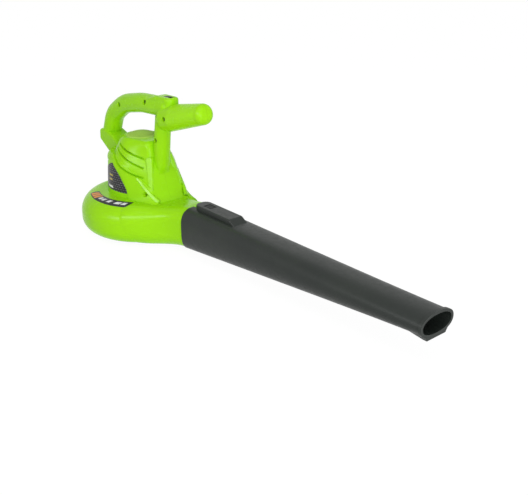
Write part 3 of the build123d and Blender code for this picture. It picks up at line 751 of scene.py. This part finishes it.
# %% [markdown]
# ## Folds beside the tower
# The tower's front corner is cut by a facet that narrows downwards, and the raised panel on each side
# ends in a fold that widens towards its foot. Both are glossier than the shell and catch the strip lamp
# as pale bands. Each is a ribbon along a line on the shell that faces one direction: flat over its
# middle share, then falling to both sides with the square of the distance until its edges are under
# the skin. In this step and the next three, sizes are in mm and only the points become metres.

# %% Folds and corner facets
panel_fold = np.array(
    (
        (38, -37.1, 94.6),
        (45, -35.3, 88.6),
        (52, -33.8, 82.2),
        (59, -32, 76.8),
        (67, -29.6, 70.2),
        (75, -26, 63.6),
    )
)
corner_facet = np.array(
    ((46.5, -20.2, 124), (49.5, -21.8, 114), (52.5, -23.5, 104), (57, -26.2, 89), (60, -28, 79))
)
band_facing = np.array((0.55, -0.74, 0.384))
flat_share = 0.55
band_depth = 1.5
mirror_y = np.array((1, -1, 1))
polished_green = plain_plastic(
    "green_polished",
    shell_green,
    shell_pale,
    roughness=0.26,
    grain_cells=2600,
    grain_depth=0.03 * mm,
    gloss_level=0.21,
)


def smoothed(line, reach=5):
    """Each point of a line as the mean of its neighbours up to a reach away, with both ends left."""
    kept = len(line) - 2 * reach
    neighbours = [line[start : start + kept] for start in range(2 * reach + 1)]
    result = line.copy()
    result[reach:-reach] = np.mean(neighbours, axis=0)
    return result


def even_path(path, columns):
    """Points at even steps along a path with softened corners."""
    step = np.linalg.norm(np.diff(path, axis=0), axis=1)
    at = np.concatenate(((0,), np.cumsum(step))) / step.sum()
    along = np.linspace(0, 1, columns)
    return smoothed(np.stack([np.interp(along, at, path[:, axis]) for axis in range(3)], axis=-1))


def unit(vectors):
    """Vectors along the last axis, each divided by its length."""
    return vectors / np.linalg.norm(vectors, axis=-1, keepdims=True)


def both_halves(pattern, over, under, material):
    """A closed patch on the near half, and its mirror image in y on the far half."""
    closed_patch(pattern.format("right"), over, under, material, "green_shell")
    far_over = over[:, ::-1] * mirror_y
    far_under = under[:, ::-1] * mirror_y
    closed_patch(pattern.format("left"), far_over, far_under, material, "green_shell")


def add_band(name, path, half_width, lift, drop, rows=17, columns=60):
    """A ribbon on both halves: its half width, lift and drop change evenly between two ends."""
    line = even_path(path, columns)
    tangent = np.gradient(line, axis=0)
    sideways = unit(np.cross(tangent, band_facing))
    facing = unit(np.cross(sideways, tangent))
    along = np.linspace(0, 1, columns)
    half, high, low = (ends[0] + along * (ends[1] - ends[0]) for ends in (half_width, lift, drop))
    across = np.linspace(-1, 1, rows)[:, None]
    fall = np.clip((np.abs(across) - flat_share) / (1 - flat_share), 0, 1) ** 2
    rise = high - (high + low) * fall
    over = line + (across * half)[..., None] * sideways + rise[..., None] * facing
    if np.sum(grid_normals(over) * band_facing) < 0:
        over = over[::-1]
    under = over - band_depth * facing
    both_halves(name + "_{}", over * mm, under * mm, polished_green)


add_band("corner_facet", corner_facet, half_width=(7.0, 4.0), lift=(0.8, 0.5), drop=(5.0, 3.4))
add_band("panel_fold", panel_fold, half_width=(2.8, 4.0), lift=(0.5, 1.0), drop=(2.0, 2.8))

# %% [markdown]
# ## The floors of the side slits
# The three slits in each side panel look like grooves with green floors, not like holes into the dark.
# Each floor is a strip along the slit's arc, a little wider than the slit, set below the panel's face.
# The face is found by looking along y at lines just above and just below the slit, and taking the mean.

# %% Slit floors
slit_arcs = np.array(
    (
        ((-8, 137), (14, 129), (42, 121)),
        ((-12, 131), (13, 119.5), (43, 108)),
        ((-18, 126), (11, 107), (46, 95)),
    )
)
slit_floor_half = 1.7
slit_floor_depth = 3.2
slit_floor_thick = 0.8
slit_floor_rows = 5
look_offset = 3.4
look_from = -90.0


def seen_along_y(x, z):
    """The y of the near half's face over a grid of x and z, all in mm, looking along +Y from outside."""
    start = np.stack((x, np.full(x.shape, look_from), z), axis=-1)
    return pulled_onto("housing_right", start * mm, along_y=True)[..., 1] / mm


def arc_points(start, middle, end, count=50):
    """Points in x and z along the circle through three points, from its centre and two angles."""
    one = middle - start
    two = end - start
    turn = 2 * (one[0] * two[1] - one[1] * two[0])
    reach_one = one @ one
    reach_two = two @ two
    across = two[1] * reach_one - one[1] * reach_two
    upward = one[0] * reach_two - two[0] * reach_one
    centre = start + np.array((across, upward)) / turn
    angles = np.unwrap([np.arctan2(*(point - centre)[::-1]) for point in (start, middle, end)])
    angle = np.linspace(angles[0], angles[2], count)
    radial = np.stack((np.cos(angle), np.sin(angle)), axis=-1)
    return centre + np.linalg.norm(start - centre) * radial, radial


def add_slit_floor(number, arc):
    """One floor on each half: the far one is the near one mirrored in y."""
    line, radial = arc_points(*arc)
    looks = line[None] + np.array((-look_offset, look_offset))[:, None, None] * radial[None]
    face_y = seen_along_y(looks[..., 0], looks[..., 1]).mean(axis=0) * mm
    across = np.linspace(-slit_floor_half, slit_floor_half, slit_floor_rows)
    spots = (line[None] + across[:, None, None] * radial[None]) * mm
    y = np.repeat(face_y[None] + slit_floor_depth * mm, len(across), axis=0)
    over = np.stack((spots[..., 0], y, spots[..., 1]), axis=-1)
    if grid_normals(over)[..., 1].sum() > 0:
        over = over[:, ::-1]
    under = over + np.array((0, slit_floor_thick * mm, 0))
    both_halves("slit_floor_{}_" + str(number), over, under, green)


for slit_number, slit_arc in enumerate(slit_arcs):
    add_slit_floor(slit_number, slit_arc)

# %% [markdown]
# ## The fairing under the post
# The post runs out into the tower's front face in a soft fairing. It is a grid over the width, u from -1
# to 1, and the height: each row is half an ellipse, sqrt(1 - u^2) deep, whose depth falls off smoothly
# from the post's own to nothing.

# %% Post fairing
fairing_top = 115.0
fairing_foot = 94.0
fairing_half = 12.2
fairing_depth = 9.6
fairing_root = 0.8
fairing_back = 2.0
fairing_taper = 0.25
face_heights = (74, 90, 105, 120)
face_reach = (63.5, 59, 54.5, 49.5)


def fairing_grid():
    """Rows from the top down: the front face's reach plus an elliptic bulge, and a flat back inside."""
    width, fall = np.meshgrid(np.linspace(-1, 1, 41), np.linspace(0, 1, 30))
    z = fairing_top + fall * (fairing_foot - fairing_top)
    face = np.interp(z, face_heights, face_reach) - fairing_root
    depth = (fairing_depth + fairing_root) * (1 - fall**2 * (3 - 2 * fall))
    y = fairing_half * width * (1 - fairing_taper * fall)
    bulge = face + depth * np.sqrt(np.clip(1 - width**2, 0, 1))
    over = np.stack((bulge, y, z), axis=-1)
    under = np.stack((face - fairing_back, y, z), axis=-1)
    return over[::-1] * mm, under[::-1] * mm


closed_patch("post_fairing", *fairing_grid(), green, "green_shell")

# %% [markdown]
# ## The vent dome
# The dome over the motor is a fine square mesh in a solid rim, and looks duller than the shell. The
# wires are two sets of flat bars that follow a sphere through the rim, with the height
# z = centre + sqrt(R^2 - x^2 - y^2), and the rim is a ring profile turned round the motor's axis.

# %% Mesh and rim
dome_radius = 23.0
dome_rise = 6.5
dome_base = 146.0
dome_seat = 143.0
mesh_radius = 20.4
mesh_pitch = 1.7
wire_half = 0.42
wire_depth = 0.7
wire_drop = 0.1
crossing_drop = 0.3
rim_overlap = 0.6
rim_foot = 2.0
sphere_radius = (dome_radius**2 + dome_rise**2) / (2 * dome_rise)
sphere_centre = dome_base + dome_rise - sphere_radius

vent = plain_plastic(
    "vent_green",
    linear(166, 204, 78),
    linear(172, 210, 86),
    roughness=0.5,
    grain_cells=1800,
    grain_depth=0.06 * mm,
    gloss_level=0.3,
)
dress(vent, "motor_vent_cap")


def dome_height(x, y):
    """Height of the sphere over a point."""
    return sphere_centre + np.sqrt(sphere_radius**2 - x**2 - y**2)


def wire_boxes(drop):
    """One set of bars along x: bars, points along each, and four corners, lowered by a drop."""
    count = int(mesh_radius / mesh_pitch)
    offset = np.arange(-count, count + 1) * mesh_pitch
    reach = np.sqrt(mesh_radius**2 - offset**2)
    along = np.linspace(-1, 1, 33)
    x = reach[:, None, None] * along[None, :, None] * np.ones(4)
    side = np.array((-wire_half, wire_half, wire_half, -wire_half))
    y = offset[:, None, None] + side * np.ones_like(x)
    level = dome_height(x, offset[:, None, None]) - drop
    z = level - np.array((wire_depth, wire_depth, 0, 0))
    return np.stack((x, y, z), axis=-1)


def bar_faces(bars_count, steps):
    """Four sides along every bar and a cap at both of its ends."""
    index = np.arange(bars_count * steps * 4).reshape(bars_count, steps, 4)
    ahead = np.roll(index, -1, axis=2)
    sides = np.stack((index[:, :-1], index[:, 1:], ahead[:, 1:], ahead[:, :-1]), axis=-1)
    return np.concatenate((sides.reshape(-1, 4), index[:, 0], index[:, -1, ::-1]))


def rim_points():
    """The closed profile of the rim, turned round the axis."""
    inner = mesh_radius - rim_overlap
    edge = np.linspace(dome_radius, inner, 6)
    radius = np.concatenate(((dome_radius,), edge, (inner, dome_radius - rim_foot)))
    height = np.concatenate(((dome_seat,), dome_height(edge, 0), (dome_base, dome_seat)))
    turn = np.linspace(0, 2 * np.pi, 120, endpoint=False)[:, None]
    return np.stack((radius * np.cos(turn), radius * np.sin(turn), height + 0 * turn), axis=-1)


def ring_faces(steps, corners):
    """Cells of a profile turned once round, closed both ways."""
    index = np.arange(steps * corners).reshape(steps, corners)
    onward = np.roll(index, -1, axis=0)
    up_one = np.roll(index, -1, axis=1)
    both = np.roll(onward, -1, axis=1)
    return np.stack((index, onward, both, up_one), axis=-1).reshape(-1, 4)


wires = wire_boxes(wire_drop)
crossing = wire_boxes(crossing_drop)[..., (1, 0, 2)] * np.array((-1, 1, 1))
rim = rim_points()
wire_cells = bar_faces(*wires.shape[:2])
parts = (wires.reshape(-1, 3), crossing.reshape(-1, 3), rim.reshape(-1, 3))
cells = (
    wire_cells,
    wire_cells + len(parts[0]),
    ring_faces(*rim.shape[:2]) + 2 * len(parts[0]),
)
dome = new_piece("vent_mesh", np.concatenate(parts) * mm, np.concatenate(cells), vent)
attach(dome, "shell")
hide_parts("motor_vent_cap")
print("vent_mesh faces:", len(dome.data.polygons))

# %% [markdown]
# ## Screw heads
# The screws that hold the halves sit deep in round holes, and the base screws sit in the base plate.
# Each is a pan head with a cross recess on a plain shank. The screw is one grid: rings from the middle of
# the head outwards, down its side and along the shank to a point, turned round the axis. The recess
# lowers the rings wherever a point lies inside one of the two crossed slots.

# %% Screws
head_radius = 3.2 * mm
slot_half = 0.55 * mm
slot_reach = 2.0 * mm
slot_depth = 1.1 * mm
shank_radius = 1.5 * mm
crown_share = 0.97
crown_fall = 0.18
side_share = 0.7
deepest_slot = 0.6
weld_distance = 0.001 * mm


def screw_points(head_height, shank_length):
    """A screw along +Z with its seat at z = 0: ring radii and heights, and a cross cut into the head."""
    crown = np.linspace(0, 1, 26)
    rest_radius = (head_radius, head_radius, shank_radius, shank_radius, 0)
    ring_radius = np.concatenate((head_radius * crown_share * crown, rest_radius))
    crown_height = head_height - crown_fall * head_height * crown**2
    tip = -shank_length
    rest_height = (side_share * head_height, 0, 0, tip + 2 * shank_radius, tip)
    ring_height = np.concatenate((crown_height, rest_height))
    turn = np.linspace(0, 2 * np.pi, 96, endpoint=False)
    x = ring_radius[:, None] * np.cos(turn)
    y = ring_radius[:, None] * np.sin(turn)
    z = np.repeat(ring_height[:, None], len(turn), axis=1)
    one_slot = (np.abs(x) < slot_reach) & (np.abs(y) < slot_half)
    other_slot = (np.abs(y) < slot_reach) & (np.abs(x) < slot_half)
    on_crown = (np.arange(len(ring_radius)) < len(crown))[:, None]
    depth = min(slot_depth, deepest_slot * head_height)
    z = z - depth * ((one_slot | other_slot) & on_crown)
    return np.stack((x, y, z), axis=-1)


def screw_set(name, node, places, axis_matrix, head_height, shank_length):
    """Copies of one screw, turned by a matrix and moved to their places, as one piece for one node."""
    one = screw_points(head_height, shank_length)
    rings, steps = one.shape[:2]
    index = np.arange(rings * steps).reshape(rings, steps)
    ahead = np.roll(index, -1, axis=1)
    cells = np.stack((index[:-1], index[1:], ahead[1:], ahead[:-1]), axis=-1).reshape(-1, 4)
    turned = one.reshape(-1, 3) @ np.array(axis_matrix).T
    points = (turned[None] + np.array(places)[:, None]).reshape(-1, 3)
    starts = np.arange(len(places)) * rings * steps
    faces = (cells[None] + starts[:, None, None]).reshape(-1, 4)
    # The screws take the near-black steel, which paints the shade of their holes.
    piece = new_piece(name, points, faces, hole_shade_steel)
    merge = piece.modifiers.new("close_poles", "WELD")
    merge.merge_threshold = weld_distance
    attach(piece, "shell")
    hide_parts(node)
    print(name, "screws:", len(places))


face_near = ((1, 0, 0), (0, 0, -1), (0, 1, 0))
face_down = ((1, 0, 0), (0, -1, 0), (0, 0, -1))
half_places = np.array(
    ((87, -14, 188), (33, -9, 202), (-35, -9, 187.5), (54, -7, 150), (-52, -11, 110.5), (55, -28, 73))
)
base_ring = 65.5
base_seat = 2.7
base_turns = np.radians(30 + 60 * np.arange(6))
base_x = base_ring * np.cos(base_turns)
base_y = base_ring * np.sin(base_turns)
base_places = np.stack((base_x, base_y, np.full(6, base_seat)), axis=1)
screw_set(
    "half_screws",
    "housing_screws",
    half_places * mm,
    face_near,
    head_height=2.2 * mm,
    shank_length=15 * mm,
)
screw_set(
    "plate_screws",
    "base_screws",
    base_places * mm,
    face_down,
    head_height=1.2 * mm,
    shank_length=9.8 * mm,
)

# %% [markdown]
# ## The release spring
# A coil spring pushes the release button up. Its foot stands on the cap below, so the real spring gets
# shorter as the button sinks. The coil is a circle carried along a helix, and here it is attached to the
# release body as one rigid piece. The sizes are in mm again.

# %% Coil spring
spring_place = 165.0
coil_radius = 4.5
coil_wire = 0.5
coil_turns = 4
coil_foot = 49.0
coil_head = 60.2


def coil_points(steps=240, corners=8):
    """C(t) + r * (cos(a) * N + sin(a) * B): N away from the axis, B across it, r = 0 at both ends."""
    turn = np.linspace(0, 2 * np.pi * coil_turns, steps)
    turn = np.concatenate((turn[:1], turn, turn[-1:]))
    thick = np.concatenate(((0,), np.full(steps, coil_wire), (0,)))
    climb = (coil_head - coil_foot - 2 * coil_wire) / turn[-1]
    away = np.stack((np.cos(turn), np.sin(turn), 0 * turn), axis=-1)
    round_axis = np.stack((-np.sin(turn), np.cos(turn), 0 * turn), axis=-1)
    forward = coil_radius * round_axis + np.array((0, 0, climb))
    across = np.cross(unit(forward), away)
    centre = coil_radius * away + np.stack((0 * turn, 0 * turn, climb * turn), axis=-1)
    centre = centre + np.array((spring_place, 0, coil_foot + coil_wire))
    angle = np.linspace(0, 2 * np.pi, corners, endpoint=False)[None, :, None]
    ring = np.cos(angle) * away[:, None] + np.sin(angle) * across[:, None]
    return centre[:, None] + thick[:, None, None] * ring


coil = coil_points()
coil_index = np.arange(coil.shape[0] * coil.shape[1]).reshape(coil.shape[:2])
coil_ahead = np.roll(coil_index, -1, axis=1)
coil_cells = np.stack((coil_index[:-1], coil_ahead[:-1], coil_ahead[1:], coil_index[1:]), axis=-1)
coil_piece = new_piece("coil_spring", coil.reshape(-1, 3) * mm, coil_cells.reshape(-1, 4), steel)
coil_piece.modifiers.new("close_ends", "WELD").merge_threshold = weld_distance
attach(coil_piece, "release")
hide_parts("release_spring")
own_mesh(coil_piece)
